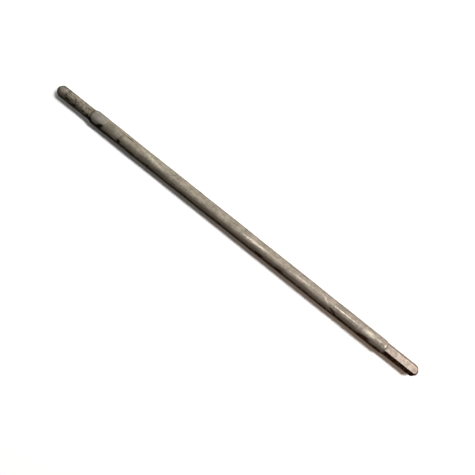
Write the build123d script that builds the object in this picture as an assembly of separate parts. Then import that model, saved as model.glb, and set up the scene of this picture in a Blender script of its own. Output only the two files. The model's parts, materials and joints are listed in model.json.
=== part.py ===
"""Mixing shaft for a power drill, in millimetres.

A steel tube with a hexagonal shank brazed into one end, for the drill chuck, and a round spigot brazed into
the other end, for the mixing head. +X runs along the shaft towards the hexagonal shank, and +Z is up as the
shaft lies flat on a bench. The origin is on the shaft's axis, on the end face of the tube where the hexagonal
shank comes out.
"""

import os
from math import sqrt

from build123d import *

# Tube
TUBE_LENGTH = 322.0
TUBE_OUTER_RADIUS = 6.35
TUBE_WALL = 1.65
MOUTH_LENGTH = 3.0  # length of the spigot end that is spun inwards to a rounded mouth
MOUTH_RADIUS = 5.2  # outer radius left at the end of the mouth
HEX_END_CHAMFER = 0.5

# Hexagonal shank
HEX_ACROSS_FLATS = 10.0
HEX_LENGTH = 36.6
HEX_CORNER_EASING = 0.05  # taken off the corners by the easing of their edges
HEX_TURN = 12.0  # degrees from +Z towards +Y to the flat that faces up

# Round spigot
SPIGOT_RADIUS = 5.25
SPIGOT_LENGTH = 37.5

# Noses: a 45 degree cone down to a small flat tip, rounded at both edges
NOSE_TIP_RADIUS = 2.2
NOSE_OUTER_ROUNDING = 3.0
NOSE_TIP_ROUNDING = 1.5

# Round stubs of the shank and the spigot, pushed into the tube
STUB_LENGTH = 30.0
STUB_LEAD_IN = 0.8

# Rings of braze, each filling the gap left between the tube's end and a shoulder
BRAZE_GAP = 1.2
BRAZE_CLIMB = 0.9  # how far the spigot's ring runs back over the spun mouth
BRAZE_ABOVE_FLATS = 0.1  # how far the shank's ring still stands above the flats at their shoulder
BRAZE_SAG = 0.05  # how far a ring's surface sinks below a straight line

BORE_RADIUS = TUBE_OUTER_RADIUS - TUBE_WALL
MOUTH_DEPTH = TUBE_OUTER_RADIUS - MOUTH_RADIUS
MOUTH_CURVE = (MOUTH_LENGTH**2 + MOUTH_DEPTH**2) / (2 * MOUTH_DEPTH)  # radius of the mouth's rounding
HEX_CORNER_RADIUS = HEX_ACROSS_FLATS / sqrt(3)
HEX_END_RADIUS = TUBE_OUTER_RADIUS - HEX_END_CHAMFER


def turned(*edges):
    """Solid that a closed outline sweeps when it turns about the X axis. Its points are (x, radius)."""
    return revolve(Plane.XZ * make_face(edges), Axis.X)


def mouth_surface(inward):
    """Outer radius of the spun mouth at a distance inward from its end."""
    to_start = MOUTH_LENGTH - inward
    return TUBE_OUTER_RADIUS - MOUTH_CURVE + sqrt(MOUTH_CURVE**2 - to_start**2)


def shaft_tube():
    """Tube from the origin along -X, chamfered at the origin and spun inwards at its far end."""
    mouth_start = (MOUTH_LENGTH - TUBE_LENGTH, TUBE_OUTER_RADIUS)
    mouth_end = (-TUBE_LENGTH, MOUTH_RADIUS)
    mouth = RadiusArc(mouth_start, mouth_end, -MOUTH_CURVE)
    wall = Polyline(
        mouth_end,
        (-TUBE_LENGTH, BORE_RADIUS),
        (0, BORE_RADIUS),
        (0, HEX_END_RADIUS),
        (-HEX_END_CHAMFER, TUBE_OUTER_RADIUS),
        mouth_start,
    )
    return turned(mouth, wall)


def nosed_bar(radius, length):
    """Round bar along +X from the braze gap's far side, with a nose on its end. Its length counts the gap."""
    cone_start = (length - (radius - NOSE_TIP_RADIUS), radius)
    cone_end = (length, NOSE_TIP_RADIUS)
    corners = Polyline((BRAZE_GAP, 0), (BRAZE_GAP, radius), cone_start, cone_end, (length, 0), close=True)
    outline = make_face(corners)
    outline = fillet(outline.vertices().sort_by_distance(cone_start)[0], NOSE_OUTER_ROUNDING)
    outline = fillet(outline.vertices().sort_by_distance(cone_end)[0], NOSE_TIP_ROUNDING)
    return revolve(Plane.XZ * outline, Axis.X)


def stub():
    """Round stub that crosses the braze gap and fills the tube's bore, with a lead-in chamfer on its end."""
    return turned(
        Polyline(
            (BRAZE_GAP, 0),
            (BRAZE_GAP, BORE_RADIUS),
            (STUB_LEAD_IN - STUB_LENGTH, BORE_RADIUS),
            (-STUB_LENGTH, BORE_RADIUS - STUB_LEAD_IN),
            (-STUB_LENGTH, 0),
            close=True,
        )
    )


def hex_shank():
    """Hexagonal shank with a turned nose and a round stub."""
    first_corner = Vector(0, 0, 1).rotate(Axis.X, 30 - HEX_TURN)
    across = Plane(origin=(0, 0, 0), x_dir=first_corner, z_dir=(1, 0, 0))
    prism = extrude(across * RegularPolygon(HEX_CORNER_RADIUS, 6), HEX_LENGTH)
    eased_bar = nosed_bar(HEX_CORNER_RADIUS - HEX_CORNER_EASING, HEX_LENGTH)
    return (prism & eased_bar) + stub()


def at_spigot_end(shape):
    """A shape modelled along +X from the origin, moved to the tube's other end and turned to run along -X."""
    return Pos(-TUBE_LENGTH, 0, 0) * Rot(0, 0, 180) * shape


def head_spigot():
    """Round spigot with a turned nose and a round stub."""
    return at_spigot_end(nosed_bar(SPIGOT_RADIUS, SPIGOT_LENGTH) + stub())


def hex_braze():
    """Ring of braze round the stub, from the tube's end face to the shoulder of the hexagon."""
    on_tube = (0, HEX_END_RADIUS)
    on_shoulder = (BRAZE_GAP, HEX_ACROSS_FLATS / 2 + BRAZE_ABOVE_FLATS)
    surface = SagittaArc(on_tube, on_shoulder, -BRAZE_SAG)
    inside = Polyline(on_shoulder, (BRAZE_GAP, BORE_RADIUS), (0, BORE_RADIUS), on_tube)
    return turned(surface, inside)


def spigot_braze(tube):
    """Ring of braze round the stub, from the spun mouth to the shoulder of the spigot."""
    on_mouth = (-BRAZE_CLIMB, mouth_surface(BRAZE_CLIMB))
    on_shoulder = (BRAZE_GAP, SPIGOT_RADIUS)
    surface = SagittaArc(on_mouth, on_shoulder, -BRAZE_SAG)
    inside = Polyline(on_shoulder, (BRAZE_GAP, BORE_RADIUS), (-BRAZE_CLIMB, BORE_RADIUS), on_mouth)
    return at_spigot_end(turned(surface, inside)) - tube


def main():
    tube = shaft_tube()
    nodes = {
        "shaft_tube": tube,
        "hex_shank": hex_shank(),
        "head_spigot": head_spigot(),
        "hex_braze": hex_braze(),
        "spigot_braze": spigot_braze(tube),
    }
    os.makedirs("parts", exist_ok=True)
    for name, shape in nodes.items():
        export_step(shape, f"parts/{name}.step")


main()
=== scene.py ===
"""Looks of the drill mixer shaft: worn, mottled steel on a white bench, seen from straight above."""

import json
from math import atan2, cos, degrees, hypot, pi, radians, sin, tan

import bpy
import numpy as np
from mathutils import Matrix, Vector, noise


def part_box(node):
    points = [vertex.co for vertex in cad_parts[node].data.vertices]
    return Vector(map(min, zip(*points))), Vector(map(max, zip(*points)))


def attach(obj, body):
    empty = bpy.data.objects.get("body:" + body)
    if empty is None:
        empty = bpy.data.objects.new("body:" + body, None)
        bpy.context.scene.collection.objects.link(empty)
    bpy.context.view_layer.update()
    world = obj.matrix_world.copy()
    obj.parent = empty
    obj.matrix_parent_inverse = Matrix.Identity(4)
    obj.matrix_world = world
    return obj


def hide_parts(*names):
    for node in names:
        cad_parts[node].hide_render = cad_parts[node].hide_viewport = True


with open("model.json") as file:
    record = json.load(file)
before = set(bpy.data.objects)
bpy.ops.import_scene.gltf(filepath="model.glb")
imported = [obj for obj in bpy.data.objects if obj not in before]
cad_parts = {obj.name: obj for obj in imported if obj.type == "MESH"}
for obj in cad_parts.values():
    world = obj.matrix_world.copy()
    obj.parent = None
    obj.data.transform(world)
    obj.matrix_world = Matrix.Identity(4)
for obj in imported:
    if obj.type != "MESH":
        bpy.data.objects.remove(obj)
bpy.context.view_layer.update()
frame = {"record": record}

MM = 0.001  # metres in a millimetre. The pieces are worked out in millimetres, and made in metres.


def box_mm(node):
    """Lowest and highest corner of a CAD node, in millimetres."""
    low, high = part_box(node)
    return low / MM, high / MM


def mount_mm(name):
    """Place of a mount of the record, in millimetres."""
    mount = next(m for m in frame["record"]["mounts"] if m["name"] == name)
    return Vector(mount["pos_m"]) / MM


TUBE_LOW, TUBE_HIGH = box_mm("shaft_tube")
SPIGOT_LOW, SPIGOT_HIGH = box_mm("head_spigot")
SHANK_LOW, SHANK_HIGH = box_mm("hex_shank")
MOUTH_BRAZE_LOW, _ = box_mm("spigot_braze")
FLAT = mount_mm("hex_flat_up")

TUBE_RADIUS = TUBE_HIGH.z
TUBE_MOUTH = TUBE_LOW.x
TUBE_END = TUBE_HIGH.x
BORE_RADIUS = 4.7
MOUTH_LENGTH = 3.0
MOUTH_RADIUS = 5.2
END_CHAMFER = 0.5

SPIGOT_RADIUS = SPIGOT_HIGH.z
SPIGOT_TIP = SPIGOT_LOW.x
STUB_LENGTH = SPIGOT_HIGH.x - TUBE_MOUTH
BRAZE_GAP = TUBE_MOUTH - MOUTH_BRAZE_LOW.x

SHANK_TIP = SHANK_HIGH.x
FLAT_RADIUS = hypot(FLAT.y, FLAT.z)
FLAT_TURN = degrees(atan2(FLAT.y, FLAT.z))
CORNER_SHARPNESS = 80  # power of the norm that rounds the hexagon's corners
CORNER_BLEND = 0.06  # distance over which the flats blend into the nose

STUB_LEAD_IN = 0.8
STUB_SLACK = 0.02  # by which a stub is drawn smaller than the bore, so that their surfaces don't flicker
STUB_FACE_RING = 1.5  # radius of the ring of points within the stub's flat end

NOSE_TIP_RADIUS = 2.2
NOSE_OUTER_ROUNDING = 3.0
NOSE_TIP_ROUNDING = 1.5

FLOOR = TUBE_LOW.z

TUBE_STEP = 0.6  # distance between the tube's rings of points
NOSE_STEP = 0.45
AROUND = 128  # points in a ring
AROUND_HEX = 180

# Angles round the shaft are in degrees from straight up towards +Y.


# ---------------------------------------------------------------- shapes


def ring_angles(count):
    return np.arange(count) * 360.0 / count


def on_shaft(x, radius, angle):
    """Points by distance along the axis, radius and angle, which are arrays of one shape."""
    turn = np.radians(angle)
    return np.stack([x, radius * np.sin(turn), radius * np.cos(turn)], -1)


SEED_SHIFT = Vector((7.31, 3.17, 5.93))


def lumps(points, size, seed):
    """Smooth noise between about -1 and 1 at each point, with lumps of about the given size."""
    flat = points.reshape(-1, 3) / size
    values = [noise.noise(Vector(p) + SEED_SHIFT * seed) for p in flat.tolist()]
    return np.array(values).reshape(points.shape[:-1])


def smooth_step(low, high, value):
    t = np.clip((value - low) / (high - low), 0, 1)
    return t * t * (3 - 2 * t)


def soft_minimum(a, b, softness):
    """The smaller of two radii, rounded where they cross."""
    h = np.clip(0.5 + 0.5 * (b - a) / softness, 0, 1)
    return b + (a - b) * h - softness * h * (1 - h)


def skin(name, rings, closed):
    """Mesh object through rings of points that each go once round the axis, in order along the surface.

    A closed skin joins its last ring to its first. An open one gets a pole on the axis at each end.
    """
    count, around, _ = rings.shape
    vertices = rings.reshape(-1, 3)
    index = np.arange(count * around).reshape(count, around)
    following = np.roll(index, -1, axis=1)
    if closed:
        ahead, ahead_following = np.roll(index, -1, axis=0), np.roll(following, -1, axis=0)
        quads = np.stack([index, ahead, ahead_following, following], -1).reshape(-1, 4)
        triangles = []
    else:
        quads = np.stack([index[:-1], index[1:], following[1:], following[:-1]], -1).reshape(-1, 4)
        first_pole, last_pole = count * around, count * around + 1
        poles = [[rings[0, :, 0].mean(), 0, 0], [rings[-1, :, 0].mean(), 0, 0]]
        vertices = np.concatenate([vertices, poles])
        triangles = [(first_pole, a, b) for a, b in zip(index[0].tolist(), following[0].tolist())]
        triangles += [(a, last_pole, b) for a, b in zip(index[-1].tolist(), following[-1].tolist())]
    mesh = bpy.data.meshes.new(name)
    mesh.from_pydata((vertices * MM).tolist(), [], quads.tolist() + triangles)
    mesh.shade_smooth()
    piece = bpy.data.objects.new(name, mesh)
    bpy.context.scene.collection.objects.link(piece)
    return piece


def paint(piece, name, values):
    """Stores a value for each point as a mesh attribute for the material. Poles take the nearest."""
    attribute = piece.data.attributes.new(name, "FLOAT", "POINT")
    flat = np.asarray(values, float).reshape(-1)
    spare = len(piece.data.vertices) - len(flat)
    if spare:
        flat = np.concatenate([flat, [flat[0], flat[-1]]])
    attribute.data.foreach_set("value", flat.astype(np.float32))


def place(piece, node, slot, material):
    """Makes a piece stand for a CAD node, with its material."""
    piece.data.materials.append(material)
    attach(piece, "root")
    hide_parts(node)


# ---------------------------------------------------------------- materials


class Graph:
    """Node tree of one material, built up node by node."""

    def __init__(self, name):
        self.material = bpy.data.materials.new(name)
        self.material.use_nodes = True
        self.tree = self.material.node_tree
        self.tree.nodes.clear()
        where = self.node("TexCoord").outputs["Object"]
        scale = {"Vector": where, "Scale": 1 / MM}
        self.place = self.node("VectorMath", {"operation": "SCALE"}, scale).outputs["Vector"]

    def node(self, kind, settings={}, inputs={}):
        made = self.tree.nodes.new("ShaderNode" + kind)
        for key, value in settings.items():
            setattr(made, key, value)
        for key, value in inputs.items():
            self.feed(made.inputs[key], value)
        return made

    def feed(self, socket, value):
        if isinstance(value, bpy.types.NodeSocket):
            self.tree.links.new(value, socket)
        else:
            socket.default_value = value

    def along(self):
        """Distance along the shaft."""
        return self.node("SeparateXYZ", {}, {"Vector": self.place}).outputs["X"]

    def stretched(self, factor):
        """Place with the distances along the shaft multiplied, so that patterns run along it."""
        inputs = {0: self.place, 1: (factor, 1, 1)}
        return self.node("VectorMath", {"operation": "MULTIPLY"}, inputs).outputs["Vector"]

    def noise(self, size, detail=3, place=None):
        """Noise from 0 to 1 with blotches of about the given size in millimetres."""
        inputs = {"Vector": place or self.place, "Scale": 1 / size, "Detail": detail, "Roughness": 0.55}
        return self.node("TexNoise", {}, inputs).outputs["Fac"]

    def between(self, value, low, high, to_low=0.0, to_high=1.0):
        inputs = {"Value": value, "From Min": low, "From Max": high, "To Min": to_low, "To Max": to_high}
        return self.node("MapRange", {"interpolation_type": "SMOOTHSTEP"}, inputs).outputs["Result"]

    def maths(self, operation, a, b):
        return self.node("Math", {"operation": operation}, {0: a, 1: b}).outputs[0]

    def weighted(self, *pairs):
        """Sum of values times weights."""
        total = self.maths("MULTIPLY", *pairs[0])
        for value, weight in pairs[1:]:
            total = self.maths("ADD", total, self.maths("MULTIPLY", value, weight))
        return total

    def mix(self, share, a, b, blend="MIX"):
        settings = {"data_type": "RGBA", "blend_type": blend}
        return self.node("Mix", settings, {0: share, 6: colour(a), 7: colour(b)}).outputs[2]

    def painted(self, name):
        return self.node("Attribute", {"attribute_name": name}).outputs["Fac"]

    def bump(self, height, depth):
        return self.node("Bump", {}, {"Height": height, "Distance": depth * MM}).outputs["Normal"]

    def finish(self, **inputs):
        shader = self.node("BsdfPrincipled", {}, {k.replace("_", " "): v for k, v in inputs.items()})
        output = self.node("OutputMaterial")
        self.tree.links.new(shader.outputs[0], output.inputs["Surface"])
        return self.material


def colour(value):
    """A colour of three parts gets full opacity. A socket stays as it is."""
    return (*value, 1) if isinstance(value, tuple) else value


OLIVE = (0.013, 0.011, 0.004)
RUSSET = (0.032, 0.008, 0.003)
EDGE_DEPOSIT_AND_SHADE = (0.06, 0.04, 0.02)  # what stained metal, and metal under painted shade, still reflects at a grazing angle
BARE = (0.285, 0.262, 0.235)
DULL_BARE = (0.185, 0.176, 0.148)
# lighter colour of the polished streaks, a painted highlight
BURNISHED_HIGHLIGHT = (0.42, 0.375, 0.30)
WARM_TINT = (1.04, 0.955, 0.965)
COOL_TINT = (0.96, 1.02, 0.985)
GREENISH_TINT = (0.995, 1.015, 1.0)
PINKISH_TINT = (1.0, 0.978, 1.01)


def plain_steel(g, tone, dark, light):
    """Colour from dark to light by tone, in warmer and cooler patches, and greener towards the spigot."""
    base = g.mix(g.between(tone, 0.39, 0.61), dark, light)
    patches = g.mix(g.between(g.noise(1.6, 2, g.stretched(0.5)), 0.4, 0.6), WARM_TINT, COOL_TINT)
    ends = g.mix(g.between(g.along(), -320.0, -10.0), GREENISH_TINT, PINKISH_TINT)
    base = g.mix(1.0, base, patches, "MULTIPLY")
    return g.mix(1.0, base, ends, "MULTIPLY")


def steel(name, dark, light, roughness, sheen):
    """Worn bare steel: mottled, with drawn lines along the shaft, small dark specks and painted marks.

    The stains and the painted shade are olive towards the spigot and russet towards the hexagonal shank,
    and the polished streaks carry painted highlights.
    """
    g = Graph(name)
    clouds = g.noise(8.0, 4)
    blotches = g.noise(2.0, 4)
    grain = g.noise(0.4, 3)
    streaks = g.noise(2.6, 3, g.stretched(0.07))
    lines = g.noise(0.5, 3, g.stretched(0.05))
    tone = g.weighted((clouds, 0.22), (blotches, 0.26), (grain, 0.14), (streaks, 0.2), (lines, 0.18))
    speckle = g.maths("MULTIPLY", g.between(g.noise(0.8, 2), 0.64, 0.72), 0.5)
    # share of real stains together with painted shade, broken up by the blotches
    stain_and_shade = g.maths("MULTIPLY", g.painted("stain_and_painted_shade"), g.between(blotches, 0.3, 0.7, 0.75, 1.25))
    stain_and_shade = g.maths("MINIMUM", g.maths("MAXIMUM", stain_and_shade, speckle), 1.0)
    bare = g.maths("MULTIPLY", g.painted("bare"), g.between(blotches, 0.35, 0.65, 0.7, 1.0))
    # polished streaks: smoother steel, with a lighter colour that is a painted highlight
    broken = g.between(g.noise(1.1, 3), 0.38, 0.62, 0.25, 1.25)
    polish_and_highlight = g.maths("MINIMUM", g.maths("MULTIPLY", g.painted("polish_and_highlight"), broken), 1.0)
    base = plain_steel(g, tone, dark, light)
    base = g.mix(bare, base, g.mix(g.between(tone, 0.40, 0.60), DULL_BARE, BARE))
    base = g.mix(polish_and_highlight, base, BURNISHED_HIGHLIGHT)
    base = g.mix(stain_and_shade, base, g.mix(g.between(g.along(), -270.0, -60.0), OLIVE, RUSSET))
    rough = g.weighted((lines, 0.08), (grain, 0.06), (stain_and_shade, 0.1), (bare, 0.02), (polish_and_highlight, -0.16))
    height = g.weighted((grain, 0.5), (lines, 0.5), (blotches, 0.9), (speckle, -0.8))
    normal = g.bump(height, 0.07)
    return g.finish(
        Base_Color=base,
        Metallic=0.92,
        Specular_Tint=g.mix(stain_and_shade, (1.0, 1.0, 1.0), EDGE_DEPOSIT_AND_SHADE),
        Roughness=g.maths("ADD", rough, roughness - 0.07),
        Normal=normal,
        Coat_Weight=g.maths("MULTIPLY", g.maths("SUBTRACT", 1.0, stain_and_shade), sheen),
        Coat_Roughness=0.34,
        Coat_Normal=normal,
    )


def tube_steel():
    return steel("drawn_tube_steel", (0.172, 0.152, 0.122), (0.33, 0.290, 0.232), 0.775, 0.045)


def shank_steel():
    return steel("hex_bar_steel", (0.175, 0.146, 0.119), (0.345, 0.288, 0.238), 0.68, 0.0)


def spigot_steel():
    return steel("spigot_steel", (0.11, 0.094, 0.074), (0.34, 0.292, 0.236), 0.74, 0.02)


def spigot_braze_metal():
    return steel("dark_braze", (0.09, 0.075, 0.055), (0.29, 0.243, 0.19), 0.70, 0.03)


def hex_braze_metal():
    return steel("pale_braze", (0.19, 0.165, 0.13), (0.33, 0.285, 0.225), 0.68, 0.05)


# ---------------------------------------------------------------- marks

# Parts of an oval mark's size where its edge ends and where the mark is full
SOFT = (1.2, 0.45)
CRISP = (1.05, 0.85)


def marked(x, angle, radius, marks, edge=SOFT):
    """Strength of a group of oval marks at each place of the surface.

    Each mark has its distance along the axis, its angle, half its length, half its width, its tilt in
    degrees and its strength. A positive tilt moves the end towards +X to greater angles.
    """
    total = np.zeros(x.shape)
    for at, toward, length, width, tilt, strength in marks:
        along = x - at
        across = np.radians(signed(angle - toward)) * radius
        turn = radians(tilt)
        u = (along * cos(turn) + across * sin(turn)) / length
        v = (across * cos(turn) - along * sin(turn)) / width
        total = np.maximum(total, strength * smooth_step(*edge, np.hypot(u, v)))
    return total


def signed(angle):
    """Angles brought between -180 and 180 degrees."""
    return (angle + 180) % 360 - 180


def underside(x, angle, centre, spread):
    """Share from 0 to 1 of the painted shade along the low side, with a wandering edge."""
    points = on_shaft(x * 0.25, np.full(x.shape, 6.0), angle)
    edge = spread + 9 * lumps(points, 5.0, 11)
    return smooth_step(edge + 14, edge - 6, np.abs(signed(angle - centre)))


def painted_low_side_shade(x, angle, core, fringe):
    """Painted shade along the low side, as a core and a fringe, each with its strength, centre and spread.
    """
    return np.maximum(*(strength * underside(x, angle, *band) for strength, *band in (core, fringe)))


# ---------------------------------------------------------------- pieces

FACETS = 3  # shallow facets round the tube
FACET_X = -257.0  # where a facet's ridge is at FACET_ANGLE
FACET_ANGLE = 20.0
FACET_TWIST = -1.84  # degrees per millimetre by which the facets turn
FACET_DEPTH = 0.10

LUMP_DEPTH = 0.05
SHANK_LUMP_DEPTH = 0.03
SPIGOT_LUMP_DEPTH = 0.08
BRAZE_LUMP_DEPTH = 0.1
BRAZE_SWELL = 0.12
SCALE_DEPTH = 0.11  # of the scaly patch beside the shank
SCALE_START, SCALE_FULL = -30.0, -18.0
SWELL_DEPTH = 0.12  # of the swelling beside the mouth
SWELL_START, SWELL_FULL = -303.0, -309.0
PATCH_DEPTH = 0.05  # of the bare patches on the swelling
NOTCH_DEPTH = 0.3

# Painted shade along the low side of the tube and of the spigot, kept with the stains
TUBE_LOW_SIDE_SHADE = (0.8, -72, 25), (0.36, -58, 36)
SPIGOT_LOW_SIDE_SHADE = (0.8, -74, 28), (0.5, -58, 38)

TUBE_NOTCHES = (
    (-321.2, -50, 3.2, 3.0, -30, 1.5),
    (-313.0, -62, 9.0, 1.7, 0, 1.5),
    (-310.4, -38, 4.2, 1.8, 34, 1.6),
    (-289.4, -44, 2.2, 2.6, 25, 1.5),
)
# Dark marks on the tube: stains, and a soft band at -146 mm below the polished streak that is painted
# shade of the shallow facets
TUBE_STAINS_AND_SHADE = (
    (-301.0, -61, 13.0, 2.1, 0, 1.0),
    (-301.5, 4, 6.0, 8.0, 0, 0.31),
    (-305.2, -2, 2.4, 7.0, -12, 0.30),
    (-300.0, -44, 7.0, 2.2, 0, 0.45),
    (-289.0, 2, 0.9, 6.4, -18, 0.30),
    (-282.3, 39, 4.8, 0.6, 0, 1.0),
    (-289.5, 40, 4.4, 0.5, 0, 0.6),
    (-233.6, 28, 3.4, 0.8, 45, 0.35),
    (-260.5, -22, 12.0, 2.6, -6, 0.22),
    (-256.8, -53, 7.0, 1.8, 0, 0.9),
    (-146.0, -31, 17.0, 2.3, 2, 0.4),
    (-141.0, -40, 8.0, 1.5, 10, 0.5),
    (-134.8, -50, 7.0, 2.1, 0, 1.0),
    (-124.0, -60, 18.0, 2.0, 0, 0.75),
    (-113.4, -50, 7.0, 2.0, 0, 1.0),
    (-141.2, -12, 9.0, 1.4, 4, 0.18),
    (-54.6, -36, 6.4, 1.2, -19, 1.0),
    (-46.0, -53, 11.0, 1.9, 0, 0.9),
    (-21.5, -42, 9.0, 2.2, 8, 1.0),
    (-32.0, -56, 16.0, 2.0, 0, 0.8),
    (-5.5, -52, 6.5, 2.1, 0, 0.9),
)
TUBE_BARE = (
    (-314.2, 46, 6.8, 9.0, -6, 1.0),
    (-315.0, -10, 5.8, 3.9, -6, 1.0),
    (-293.9, -6, 3.6, 3.3, 0, 0.45),
)
# Polished streaks along the highlight line: the steel is smoother, and its lighter colour is a painted
# highlight
TUBE_POLISH_AND_HIGHLIGHTS = (
    (-255.0, 19, 14.0, 1.3, -10, 0.62),
    (-247.0, 10, 7.0, 0.8, -4, 0.5),
    (-143.0, 9, 15.0, 1.3, 2, 1.0),
    (-118.6, 15, 8.0, 0.6, 0, 0.3),
    (-93.4, 13, 10.5, 0.8, 0, 0.65),
    (-69.5, 22, 6.0, 0.5, -26, 0.5),
    (-65.6, 8, 4.2, 0.9, -28, 1.0),
    (-46.0, 12.5, 16.0, 0.6, 0, 0.9),
    (-22.8, 12, 3.0, 0.5, 0, 0.6),
    (-17.5, 14, 6.5, 2.4, 0, 0.55),
    (-8.6, 18, 4.0, 1.2, 0, 0.5),
    (-0.6, 12, 1.3, 2.2, 0, 1.0),
)


def tube_relief(x, angle):
    """Height in millimetres of the tube's outer surface over a plain cylinder."""
    points = on_shaft(x, np.full(x.shape, TUBE_RADIUS), angle)
    facets = np.cos(np.radians(FACETS * (angle - FACET_ANGLE - FACET_TWIST * (x - FACET_X))))
    height = FACET_DEPTH * (facets - 1) / 2
    height += LUMP_DEPTH * lumps(points * (0.3, 1, 1), 3.0, 1)
    height += SCALE_DEPTH * smooth_step(SCALE_START, SCALE_FULL, x) * lumps(points, 1.3, 2)
    height += SWELL_DEPTH * smooth_step(SWELL_START, SWELL_FULL, x)
    height += PATCH_DEPTH * marked(x, angle, TUBE_RADIUS, TUBE_BARE[:2])
    height -= NOTCH_DEPTH * marked(x, angle, TUBE_RADIUS, TUBE_NOTCHES)
    return height


def shaft_tube():
    outer_x = np.concatenate(
        [
            TUBE_MOUTH + MOUTH_LENGTH * (1 - np.cos(np.linspace(0, pi / 2, 12))),
            np.arange(TUBE_MOUTH + MOUTH_LENGTH + TUBE_STEP, TUBE_END - END_CHAMFER, TUBE_STEP),
            [TUBE_END - END_CHAMFER, TUBE_END - END_CHAMFER / 2, TUBE_END],
        ]
    )
    inner_x = np.linspace(TUBE_END, TUBE_MOUTH, 60)
    profile_x = np.concatenate([outer_x, inner_x])
    profile_r = np.concatenate([tube_profile(outer_x), np.full(len(inner_x), BORE_RADIUS)])
    outside = np.concatenate([np.ones(len(outer_x)), np.zeros(len(inner_x))])

    around = ring_angles(AROUND)
    x, angle = np.meshgrid(profile_x, around, indexing="ij")
    radius = np.repeat(profile_r[:, None], len(around), 1)
    outside = np.repeat(outside[:, None], len(around), 1)
    radius = radius + outside * tube_relief(x, angle)
    piece = skin("shaft_tube_skin", on_shaft(x, radius, angle), closed=True)
    # painted shade along the tube's low side
    low_side_shade = painted_low_side_shade(x, angle, *TUBE_LOW_SIDE_SHADE)
    bare = marked(x, angle, TUBE_RADIUS, TUBE_BARE, CRISP)
    # stains, with a band of painted shade
    dark_marks = marked(x, angle, TUBE_RADIUS, TUBE_STAINS_AND_SHADE) * smooth_step(0.9, 0.3, bare)
    notches = marked(x, angle, TUBE_RADIUS, TUBE_NOTCHES)
    paint(piece, "stain_and_painted_shade", np.maximum.reduce([low_side_shade, dark_marks, notches]))
    paint(piece, "bare", bare)
    paint(piece, "polish_and_highlight", marked(x, angle, TUBE_RADIUS, TUBE_POLISH_AND_HIGHLIGHTS))
    place(piece, "shaft_tube", "drawn_tube_steel", tube_steel())


def tube_profile(x):
    """Outer radius of the plain tube, with its spun mouth and its chamfered end."""
    depth = TUBE_RADIUS - MOUTH_RADIUS
    curve = (MOUTH_LENGTH**2 + depth**2) / (2 * depth)
    to_start = np.clip(TUBE_MOUTH + MOUTH_LENGTH - x, 0, None)
    to_end = np.clip(x - (TUBE_END - END_CHAMFER), 0, None)
    return TUBE_RADIUS - curve + np.sqrt(curve**2 - to_start**2) - to_end


def nose_profile(tip, full_radius, start):
    """Profile (x, radius) of a bar from start to its tip: a 45 degree cone, rounded at both edges."""
    cone_start = tip - (full_radius - NOSE_TIP_RADIUS)
    outer_run = NOSE_OUTER_ROUNDING * tan(pi / 8)
    tip_run = NOSE_TIP_ROUNDING * tan(pi / 8)
    turn = np.linspace(0, pi / 4, 9)
    body_x = np.arange(start, cone_start - outer_run - 0.2, NOSE_STEP)
    outer_x = cone_start - outer_run + NOSE_OUTER_ROUNDING * np.sin(turn)
    outer_r = full_radius - NOSE_OUTER_ROUNDING * (1 - np.cos(turn))
    tip_x = tip - NOSE_TIP_ROUNDING * (1 - np.sin(pi / 4 + turn))
    tip_r = NOSE_TIP_RADIUS - tip_run + NOSE_TIP_ROUNDING * np.cos(pi / 4 + turn)
    cone_x = np.linspace(outer_x[-1], tip_x[0], 8)[1:-1]
    cone_r = np.linspace(outer_r[-1], tip_r[0], 8)[1:-1]
    centre_r = tip_r[-1] * np.array([0.8, 0.55, 0.3])
    profile_x = np.concatenate([body_x, outer_x, cone_x, tip_x, np.full(3, tip)])
    profile_r = np.concatenate([np.full(len(body_x), full_radius), outer_r, cone_r, tip_r, centre_r])
    return profile_x, profile_r


def hexagon_radius(angle):
    """Distance from the axis to the hexagon's rounded outline at an angle."""
    total = 0
    for flat in range(6):
        facing = np.cos(np.radians(angle - FLAT_TURN - 60 * flat))
        total = total + np.clip(facing, 0, None) ** CORNER_SHARPNESS
    return FLAT_RADIUS / total ** (1 / CORNER_SHARPNESS)


def with_stub(profile_x, profile_r, shoulder):
    """Puts the stub before a profile that starts at the shoulder."""
    stub_end = shoulder - BRAZE_GAP - STUB_LENGTH
    body = np.linspace(stub_end + STUB_LEAD_IN, shoulder, 24)
    body_r = np.full(len(body), BORE_RADIUS - STUB_SLACK)
    stub_x = np.concatenate([[stub_end, stub_end], body])
    stub_r = np.concatenate([[STUB_FACE_RING, BORE_RADIUS - STUB_LEAD_IN], body_r])
    return np.concatenate([stub_x, profile_x]), np.concatenate([stub_r, profile_r])


def hex_shank():
    corner_radius = FLAT_RADIUS / cos(radians(30))
    shoulder = TUBE_END + BRAZE_GAP
    profile_x, profile_r = with_stub(*nose_profile(SHANK_TIP, corner_radius, shoulder), shoulder)
    x, angle = np.meshgrid(profile_x, ring_angles(AROUND_HEX), indexing="ij")
    radius = np.repeat(profile_r[:, None], x.shape[1], 1)
    radius = np.minimum(radius, soft_minimum(radius, hexagon_radius(angle), CORNER_BLEND))
    outside = x > shoulder
    radius = radius + outside * SHANK_LUMP_DEPTH * lumps(on_shaft(x, radius, angle), 2.0, 3)
    piece = skin("hex_shank_skin", on_shaft(x, radius, angle), closed=False)
    root = smooth_step(7, 2, x)
    corner = smooth_step(24, 30, np.abs((angle - FLAT_TURN + 30) % 60 - 30))
    # The lower face, turned away from the key light, is darkened as painted shade, and the bar is a little
    # darker beside the shoulder
    painted_low_face_shade = smooth_step(32, 27, np.abs(signed(angle - FLAT_TURN + 60)))
    paint(piece, "stain_and_painted_shade", np.clip(painted_low_face_shade + 0.15 * smooth_step(2.4, 1.2, x), 0, 1))
    paint(piece, "bare", 0.45 * root)
    # the corners are polished, and lighter as painted highlights
    paint(piece, "polish_and_highlight", 0.5 * corner)
    place(piece, "hex_shank", "hex_bar_steel", shank_steel())


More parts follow.
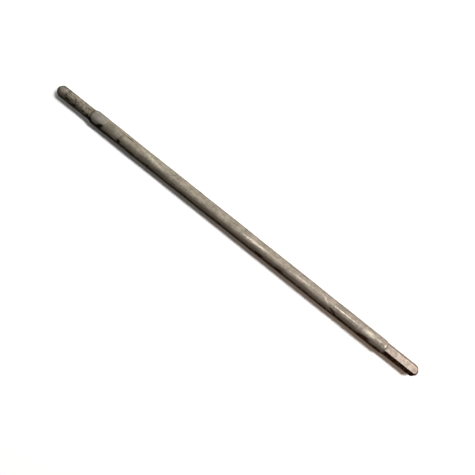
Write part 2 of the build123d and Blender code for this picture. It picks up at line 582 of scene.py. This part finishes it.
SPIGOT_STAINS = (
    (-348.8, -6, 0.7, 2.2, 0, 0.85),
    (-348.6, 38, 0.9, 0.8, 0, 0.85),
    (-346.2, -31, 3.0, 1.1, 0, 1.4),
    (-346.0, -10, 3.2, 2.0, 0, 0.35),
    (-342.2, -50, 3.0, 1.6, 0, 0.9),
    (-338.6, -38, 2.2, 1.1, 0, 1.5),
    (-334.5, -46, 3.0, 1.1, 0, 0.7),
    (-329.4, -31, 2.2, 0.9, 0, 1.4),
    (-338.3, -5, 0.8, 0.8, 0, 1.0),
    (-339.3, 13, 1.0, 0.5, -60, 0.8),
    (-336.6, 8, 0.9, 0.45, 50, 0.7),
    (-341.4, 26, 2.2, 0.4, -20, 0.7),
    (-335.6, -14, 1.6, 0.4, 40, 0.8),
    (-325.4, 10, 0.9, 0.9, 0, 0.7),
    (-324.6, 32, 2.4, 0.5, 21, 0.85),
    (-324.0, -13, 1.6, 0.45, -40, 0.8),
    (-323.8, -44, 2.6, 2.2, 0, 1.5),
    (-322.9, -26, 1.0, 2.4, 30, 1.2),
)


def painted_tip_shade(x, radius, angle):
    """Painted shade: a dark rim round the spigot's tip, left off the side that faces the key light."""
    at_tip = smooth_step(-352.6, -355.0, x)
    below = smooth_step(4.0, 2.6, radius * np.cos(np.radians(angle)))
    shaded = smooth_step(70, 30, signed(angle))
    return 1.5 * at_tip * below * shaded


def head_spigot():
    shoulder = -TUBE_MOUTH + BRAZE_GAP
    profile_x, profile_r = with_stub(*nose_profile(-SPIGOT_TIP, SPIGOT_RADIUS, shoulder), shoulder)
    x, angle = np.meshgrid(-profile_x[::-1], ring_angles(AROUND), indexing="ij")
    radius = np.repeat(profile_r[::-1, None], x.shape[1], 1)
    outside = x < TUBE_MOUTH - BRAZE_GAP
    rim = outside * smooth_step(0.2, 0.9, radius / SPIGOT_RADIUS)
    radius = radius + rim * SPIGOT_LUMP_DEPTH * lumps(on_shaft(x, radius, angle), 2.2, 4)
    piece = skin("head_spigot_skin", on_shaft(x, radius, angle), closed=False)
    # painted shade along the spigot's low side
    low_side_shade = painted_low_side_shade(x, angle, *SPIGOT_LOW_SIDE_SHADE)
    dark_marks = marked(x, angle, SPIGOT_RADIUS, SPIGOT_STAINS)
    nose = smooth_step(-349.0, -349.8, x)
    paint(piece, "stain_and_painted_shade", np.maximum.reduce([low_side_shade, dark_marks, painted_tip_shade(x, radius, angle)]))
    paint(piece, "bare", 0.25 * nose)
    paint(piece, "polish_and_highlight", np.zeros(x.shape))
    place(piece, "head_spigot", "spigot_steel", spigot_steel())


def braze_ring(name, start_x, start_r, end_x, end_r, angle, painted_low_shade, seam, seed):
    """Closed ring of solidified braze, whose surface swells between its start and its end.

    Both are arrays by angle. The start edge is dark, painted shade given by angle darkens the low side
    across the whole ring, and seam the end edge.
    """
    u = np.linspace(0, 1, 12)[:, None]
    x = start_x + (end_x - start_x) * u
    radius = start_r + (end_r - start_r) * u**1.7
    turn = np.repeat(angle[None, :], len(u), 0)
    ripple = lumps(on_shaft(x, radius, turn), 1.3, seed)
    radius = radius + np.sin(pi * u) * (BRAZE_SWELL + BRAZE_LUMP_DEPTH * ripple)
    inner = np.linspace(1, 0, 5)[:, None]
    inner_x = start_x + (end_x - start_x) * inner
    inner_r = np.full(inner_x.shape, BORE_RADIUS - STUB_SLACK / 2)
    all_x = np.concatenate([x, inner_x])
    all_r = np.concatenate([radius, inner_r])
    all_angles = np.repeat(angle[None, :], len(all_x), 0)
    piece = skin(name, on_shaft(all_x, all_r, all_angles), closed=True)
    rim = np.concatenate([smooth_step(0.22, 0.0, u) + smooth_step(0.75, 0.95, u) * seam, 0 * inner])
    paint(piece, "stain_and_painted_shade", np.maximum(rim, painted_low_shade))
    return piece


def wandering(angle, size, seed):
    """Smooth noise round the shaft, by which a braze ring's edges wander."""
    return lumps(on_shaft(np.zeros(len(angle)), np.full(len(angle), 5.0), angle), size, seed)


def spigot_braze():
    """Braze at the spun mouth, with a tongue of it run out along the spigot."""
    angle = ring_angles(AROUND)
    wander = wandering(angle, 2.5, 6)
    tongue = smooth_step(40, 4, np.abs(signed(angle - 8)))
    reach = 0.35 + 0.25 * wander + 2.8 * tongue
    climb = 0.5 + 0.3 * wander
    mouth_x = TUBE_MOUTH + climb
    spigot_x = TUBE_MOUTH - BRAZE_GAP - reach
    mouth_r = tube_profile(mouth_x) + 0.02
    spigot_r = np.full(len(angle), SPIGOT_RADIUS - 0.05)
    # painted shade on the braze's low side
    painted_low_shade = smooth_step(55, 30, np.abs(signed(angle + 75)))
    piece = braze_ring("spigot_braze_bead", spigot_x, spigot_r, mouth_x, mouth_r, angle, painted_low_shade, 1.2, 7)
    finish_braze(piece, "spigot_braze", spigot_braze_metal())


def hex_braze():
    """Braze between the tube's end face and the hexagon's shoulder."""
    angle = ring_angles(AROUND_HEX)
    wander = wandering(angle, 2.0, 8)
    shank_x = TUBE_END + BRAZE_GAP + 0.5 + 0.3 * wander
    shank_r = hexagon_radius(angle) - 0.05
    end_x = np.full(len(angle), TUBE_END - 0.02)
    end_r = np.full(len(angle), TUBE_RADIUS - END_CHAMFER - 0.1)
    # painted shade on the braze's low side
    painted_low_shade = 0.8 * smooth_step(60, 30, np.abs(signed(angle + 75)))
    piece = braze_ring("hex_braze_bead", shank_x, shank_r, end_x, end_r, angle, painted_low_shade, 0.5, 9)
    finish_braze(piece, "hex_braze", hex_braze_metal())


def finish_braze(piece, node, material):
    for attribute in ("bare", "polish_and_highlight"):
        paint(piece, attribute, np.zeros(len(piece.data.vertices)))
    place(piece, node, "braze_metal", material)


shaft_tube()
hex_shank()
head_spigot()
spigot_braze()
hex_braze()


# ---------------------------------------------------------------- stage

VIEW_CENTRE = Vector((-158.05, -4.67, 0)) * MM  # below the camera, at the height of the shaft's axis
VIEW_HEIGHT = 433.0 * MM
VIEW_TURN = radians(38.55)  # of the camera about the vertical, which puts the shaft across the picture
LENS = 37.9
SENSOR_WIDTH = 36.0
FLOOR_WIDTH = 8.0

WHITE = (1.0, 1.0, 1.0)
WARM_LIGHT = (1.0, 0.86, 0.66)
FILL_LIGHT = (1.0, 0.93, 0.85)
# The paper is drawn darker towards the shank as painted shade, which darkens the shadow there and evens
# out the key light
PAPER_BY_SPIGOT = (0.86, 0.86, 0.855)
PAPER_BY_SHANK = (0.64, 0.64, 0.64)
PAPER_TO_STEEL = (0.15, 0.115, 0.07)  # what the steel sees of the paper: much darker than the paper, which paints shade into the steel's low side
PAINTED_SHADOW_LIGHT = (1.0, 0.6, 0.35)  # colour of the light painted into the shadow towards the shank


def camera():
    data = bpy.data.cameras.new("camera")
    data.lens = LENS
    data.sensor_width = SENSOR_WIDTH
    cam = bpy.data.objects.new("camera", data)
    cam.location = VIEW_CENTRE + Vector((0, 0, VIEW_HEIGHT))
    cam.rotation_euler = (0, 0, VIEW_TURN)
    bpy.context.scene.collection.objects.link(cam)
    bpy.context.scene.camera = cam


def softbox(name, toward, distance, size, power, tint=WHITE):
    """Area light on the middle of the view, in metres and watts. Its first size runs along the shaft."""
    data = bpy.data.lights.new(name, "AREA")
    data.shape = "RECTANGLE"
    data.size, data.size_y = size
    data.energy = power
    data.color = tint
    light = bpy.data.objects.new(name, data)
    away = Vector(toward).normalized()
    light.location = VIEW_CENTRE + away * distance
    side = (Vector((1, 0, 0)) - away * away.x).normalized()
    light.rotation_euler = Matrix((side, away.cross(side), away)).transposed().to_euler()
    bpy.context.scene.collection.objects.link(light)


def white_paper():
    """Paper that fades to plain white far from the shaft, with painted light in the shadow and painted
    shade towards the shank.
    """
    g = Graph("white_paper")
    seen = g.node("LightPath").outputs["Is Camera Ray"]
    fibre = g.between(g.noise(3.0, 3), 0.3, 0.7, 0.97, 1.0)
    # darker towards the shank as painted shade
    paper = g.mix(g.between(g.along(), SPIGOT_TIP, 150.0), PAPER_BY_SPIGOT, PAPER_BY_SHANK)
    shade = g.mix(1.0, g.mix(seen, PAPER_TO_STEEL, paper), fibre, "MULTIPLY")
    distance = g.node("VectorMath", {"operation": "LENGTH"}, {"Vector": g.place}).outputs["Value"]
    haze = g.between(distance, 500.0, 2500.0)
    # painted light: a glow that only the camera sees, growing towards the shank, and the white haze far
    # away
    painted_light_and_haze = g.maths("MAXIMUM", g.between(g.along(), -330.0, 40.0, 0.0, 0.10), haze)
    return g.finish(
        Base_Color=shade,
        Roughness=0.9,
        Emission_Color=g.mix(haze, PAINTED_SHADOW_LIGHT, WHITE),
        Emission_Strength=g.maths("MULTIPLY", painted_light_and_haze, seen),
    )


def floor():
    half = FLOOR_WIDTH / 2
    z = FLOOR * MM
    corners = [(-half, -half, z), (half, -half, z), (half, half, z), (-half, half, z)]
    mesh = bpy.data.meshes.new("floor")
    mesh.from_pydata(corners, [], [(0, 1, 2, 3)])
    mesh.materials.append(white_paper())
    piece = bpy.data.objects.new("floor", mesh)
    bpy.context.scene.collection.objects.link(piece)


def surroundings():
    """Dim warm fill light, with white behind the floor's far edge."""
    world = bpy.data.worlds.new("surroundings")
    bpy.context.scene.world = world
    world.use_nodes = True
    nodes, links = world.node_tree.nodes, world.node_tree.links
    nodes.clear()
    path = nodes.new("ShaderNodeLightPath")
    fill = nodes.new("ShaderNodeBackground")
    fill.inputs["Color"].default_value = colour(FILL_LIGHT)
    fill.inputs["Strength"].default_value = 0.01
    behind = nodes.new("ShaderNodeBackground")
    behind.inputs["Color"].default_value = colour(WHITE)
    chosen = nodes.new("ShaderNodeMixShader")
    output = nodes.new("ShaderNodeOutputWorld")
    links.new(path.outputs["Is Camera Ray"], chosen.inputs[0])
    links.new(fill.outputs[0], chosen.inputs[1])
    links.new(behind.outputs[0], chosen.inputs[2])
    links.new(chosen.outputs[0], output.inputs["Surface"])


camera()
softbox("key", (0.41, 0.50, 1.0), 2.2, (0.80, 0.40), 74)
softbox("top", (-0.1, 0.1, 1.0), 1.5, (1.0, 1.0), 3)
softbox("side", (0.4, 1.0, 0.25), 1.2, (1.0, 0.4), 5.5)
softbox("low_side", (-0.1, 1.0, 0.05), 1.2, (1.0, 0.4), 12)
softbox("front", (0.3, -1.0, 0.08), 1.2, (1.0, 0.2), 2.0, WARM_LIGHT)
floor()
surroundings()
bpy.context.scene.view_settings.view_transform = "Standard"
